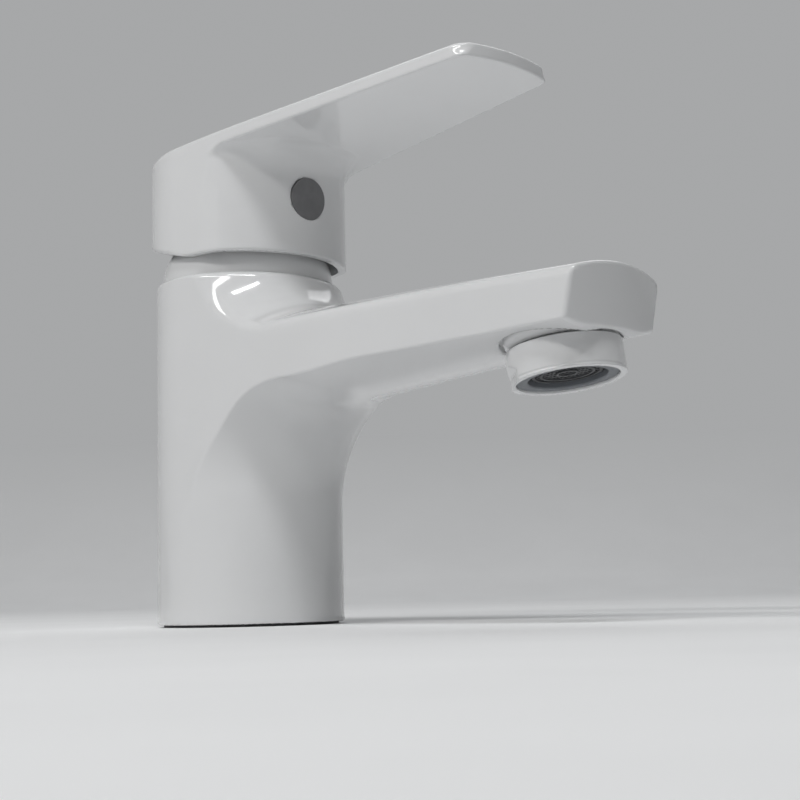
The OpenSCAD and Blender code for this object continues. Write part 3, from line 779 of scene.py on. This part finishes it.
def dressed(name, field, lines, material, node=None, outlet=False, rides="body"):
    """A surface piece with its material, the node it stands for and the body it rides on."""
    obj = surface_object(name, field, lines, outlet)
    paint(obj, material)
    if node:
        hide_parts(node)
    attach(obj, rides)
    return obj


# Grid lines across x, y and z, close together where edges and small curves lie
BODY_LINES = (
    spaced(-25.5, 124.2, 0.9, 0.4, (94, 124.2)),
    spaced(-25.5, 25.5, 1.0, 0.4, (-25.5, -12.5), (12.5, 25.5)),
    spaced(-0.6, 89.6, 1.1, 0.4, (51.5, 62.5), (70.5, 76.5), (86, 89.6)),
)
HANDLE_LINES = (
    spaced(-27.2, 97.4, 0.8, 0.35, (88, 97.4)),
    spaced(-25.6, 25.6, 0.9, 0.4, (-25.6, -9), (9, 25.6)),
    spaced(91.6, 128.0, 0.7, 0.35, (91.6, 95), (117, 127)),
)
HOUSING_LINES = (
    spaced(-13, 13, 0.4, 0.4),
    spaced(-13, 13, 0.4, 0.4),
    spaced(-0.2, 10.8, 0.4, 0.15, (-0.2, 1.1), (6.6, 7.9)),
)
RING_LINES = (
    spaced(-11.2, 11.2, 0.4, 0.4),
    spaced(-11.2, 11.2, 0.4, 0.4),
    spaced(0.5, 6.3, 1.0, 0.25, (0.5, 1.5)),
)
GRID_LINES = (
    spaced(-8.8, 8.8, 0.23, 0.23),
    spaced(-8.8, 8.8, 0.23, 0.23),
    spaced(1.3, 6.3, 1.0, 0.25, (1.3, 3)),
)

dressed("cast_body", body_field, BODY_LINES, ENAMEL, "body")
dressed("lever_handle", handle_field, HANDLE_LINES, ENAMEL, "handle", rides="handle")
dressed("aerator_shell", housing_field, HOUSING_LINES, ENAMEL, "aerator_housing", outlet=True)
dressed("outlet_ring", ring_field, RING_LINES, GREY_PLASTIC, outlet=True)
dressed("outlet_grid", grid_field, GRID_LINES, MESH_DARK, "aerator_core", outlet=True)

# ---- Stage and light, in metres ----

# Even grey that the camera and reflections see behind the object
BACKDROP = (0.385, 0.39, 0.395, 1)
# Heights over which the floor turns into the backdrop
BACKDROP_HEIGHTS = (0.02, 0.16)

FLOOR_COLOUR = (0.88, 0.885, 0.89)
FLOOR_ROUGHNESS = 0.75
FLOOR_GRAIN = 14
FLOOR_SPREAD = 0.015
# Directions along the floor, away from the camera and across its view
AWAY = (-0.7168, 0.6973)
ACROSS = (0.6973, 0.7168)
# Floor's near end, how far off the wall stands that it turns up into, and the curve between
FLOOR_NEAR = -1.2
FLOOR_FAR = 1.1
FLOOR_HALF_W = 2.2
WALL_TOP = 2.2
FLOOR_CURVE = 0.35
CURVE_STEPS = 16


def seen_share(nodes, links):
    """1 for rays from the camera and for reflections, 0 for the light that falls on the object."""
    path = nodes.new("ShaderNodeLightPath")
    seen = nodes.new("ShaderNodeMath")
    seen.operation = "ADD"
    seen.use_clamp = True
    links.new(path.outputs["Is Camera Ray"], seen.inputs[0])
    links.new(path.outputs["Is Glossy Ray"], seen.inputs[1])
    return seen


def stage_material(name, colour):
    """Matt floor that turns, with height, into an even backdrop for camera and reflections."""
    material, nodes, links, shader = new_material(name)
    shader.inputs["Roughness"].default_value = FLOOR_ROUGHNESS
    speck = noise_texture(nodes, links, FLOOR_GRAIN, BROAD_DETAIL)
    low = [c * (1 - FLOOR_SPREAD) for c in colour] + [1]
    high = [min(c * (1 + FLOOR_SPREAD), 1) for c in colour] + [1]
    tint = ramp(nodes, links, speck.outputs["Fac"], low, high)
    links.new(tint.outputs["Color"], shader.inputs["Base Color"])
    coords = nodes.new("ShaderNodeTexCoord")
    height = nodes.new("ShaderNodeSeparateXYZ")
    links.new(coords.outputs["Object"], height.inputs["Vector"])
    rise = map_range(nodes, links, height.outputs["Z"], BACKDROP_HEIGHTS)
    seen = seen_share(nodes, links)
    share = nodes.new("ShaderNodeMath")
    share.operation = "MULTIPLY"
    links.new(seen.outputs["Value"], share.inputs[0])
    links.new(rise.outputs["Result"], share.inputs[1])
    glow = nodes.new("ShaderNodeEmission")
    glow.inputs["Color"].default_value = BACKDROP
    glow.inputs["Strength"].default_value = 1.0
    blend = nodes.new("ShaderNodeMixShader")
    links.new(share.outputs["Value"], blend.inputs["Fac"])
    links.new(shader.outputs["BSDF"], blend.inputs[1])
    links.new(glow.outputs["Emission"], blend.inputs[2])
    links.new(blend.outputs["Shader"], nodes["Material Output"].inputs["Surface"])
    return material


def sweep():
    """Floor that turns up into a backdrop behind the object, as seen by the camera."""
    curve_from = FLOOR_FAR - FLOOR_CURVE
    profile = [(FLOOR_NEAR, 0.0), (curve_from, 0.0)]
    for step in range(1, CURVE_STEPS + 1):
        turn = math.pi / 2 * step / CURVE_STEPS
        rise = FLOOR_CURVE - FLOOR_CURVE * math.cos(turn)
        profile.append((curve_from + FLOOR_CURVE * math.sin(turn), rise))
    profile.append((FLOOR_FAR, WALL_TOP))
    points, faces = [], []
    for along, up in profile:
        for side in (-FLOOR_HALF_W, FLOOR_HALF_W):
            x, y = [AWAY[n] * along + ACROSS[n] * side for n in (0, 1)]
            points.append((x, y, up))
    for i in range(len(profile) - 1):
        faces.append((2 * i, 2 * i + 1, 2 * i + 3, 2 * i + 2))
    mesh = bpy.data.meshes.new("floor")
    mesh.from_pydata(points, [], faces)
    mesh.shade_smooth()
    obj = bpy.data.objects.new("floor", mesh)
    bpy.context.scene.collection.objects.link(obj)
    return obj


floor = sweep()
paint(floor, stage_material("pale_floor", FLOOR_COLOUR))

# What the lamps point at
CENTRE = (0.03, 0.0, 0.07)
WARM_WHITE = (1.0, 0.99, 0.975)
COOL_WHITE = (0.98, 0.99, 1.0)


def lamp(name, place, size, power, colour):
    """Flat lamp that points at the centre, with its width and height, and its power in watts."""
    light = bpy.data.lights.new(name, "AREA")
    light.shape = "RECTANGLE"
    light.size, light.size_y = size
    light.energy = power
    light.color = colour
    obj = bpy.data.objects.new(name, light)
    obj.location = place
    aim = Vector(CENTRE) - Vector(place)
    obj.rotation_euler = aim.to_track_quat("-Z", "Y").to_euler()
    bpy.context.scene.collection.objects.link(obj)


# The first two are long and narrow, so that their reflections are lines
lamp("key", (0.05, -0.95, 0.85), (1.1, 0.14), 5.7, WARM_WHITE)
lamp("high", (0.42, -0.47, 1.15), (0.5, 0.08), 5.2, COOL_WHITE)
lamp("back", (-0.55, 0.70, 1.15), (1.3, 0.9), 4.2, COOL_WHITE)

# Light all round: the direction it is fullest from, the cosines to that direction at which it
# is weakest and fullest, its colour there, and its strength
FULL_FROM = Vector((-0.62, -0.62, 0.48)).normalized()
WEAK_TO_FULL = (-0.6, 1.0)
WEAK_LIGHT = (0.13, 0.135, 0.14, 1)
FULL_LIGHT = (0.74, 0.75, 0.76, 1)
WORLD_STRENGTH = 0.14


def studio_world():
    """Soft light all round, fuller from the left of the camera than from its right."""
    world = bpy.data.worlds.new("studio")
    world.use_nodes = True
    nodes, links = world.node_tree.nodes, world.node_tree.links
    coords = nodes.new("ShaderNodeTexCoord")
    lean = nodes.new("ShaderNodeVectorMath")
    lean.operation = "DOT_PRODUCT"
    lean.inputs[1].default_value = FULL_FROM
    links.new(coords.outputs["Generated"], lean.inputs[0])
    share = map_range(nodes, links, lean.outputs["Value"], WEAK_TO_FULL)
    tint = ramp(nodes, links, share.outputs["Result"], WEAK_LIGHT, FULL_LIGHT, (0.0, 1.0))
    shade = nodes["Background"]
    links.new(tint.outputs["Color"], shade.inputs["Color"])
    shade.inputs["Strength"].default_value = WORLD_STRENGTH
    seen = seen_share(nodes, links)
    pale = nodes.new("ShaderNodeBackground")
    pale.inputs["Color"].default_value = BACKDROP
    blend = nodes.new("ShaderNodeMixShader")
    links.new(seen.outputs["Value"], blend.inputs["Fac"])
    links.new(shade.outputs["Background"], blend.inputs[1])
    links.new(pale.outputs["Background"], blend.inputs[2])
    links.new(blend.outputs["Shader"], nodes["World Output"].inputs["Surface"])
    return world


bpy.context.scene.world = studio_world()
bpy.context.scene.view_settings.view_transform = "Standard"

# ---- Camera: where it stands in metres, its heading, pitch and roll ----

CAMERA_PLACE = (0.303803, -0.239962, 0.007065)
HEADING = math.radians(135.8141)
PITCH = math.radians(7.49718)
ROLL = math.radians(-1.3919)
# Width of the sensor and focal length, in millimetres
SENSOR_W = 36
FOCAL = 1.8416825 * SENSOR_W
CLIP_START = 0.01


def camera_axes():
    """Unit vectors to the camera's right, up, and back from its view."""
    level = math.cos(PITCH)
    forward = Vector((math.cos(HEADING) * level, math.sin(HEADING) * level, math.sin(PITCH)))
    right = Vector((math.sin(HEADING), -math.cos(HEADING), 0))
    up = right.cross(forward)
    turned = math.cos(ROLL) * right + math.sin(ROLL) * up
    raised = -math.sin(ROLL) * right + math.cos(ROLL) * up
    return turned, raised, -forward


camera_data = bpy.data.cameras.new("camera")
camera_data.sensor_width = SENSOR_W
camera_data.lens = FOCAL
camera_data.clip_start = CLIP_START
camera = bpy.data.objects.new("camera", camera_data)
turn = Matrix(camera_axes()).transposed().to_4x4()
camera.matrix_world = Matrix.Translation(CAMERA_PLACE) @ turn
bpy.context.scene.collection.objects.link(camera)
bpy.context.scene.camera = camera
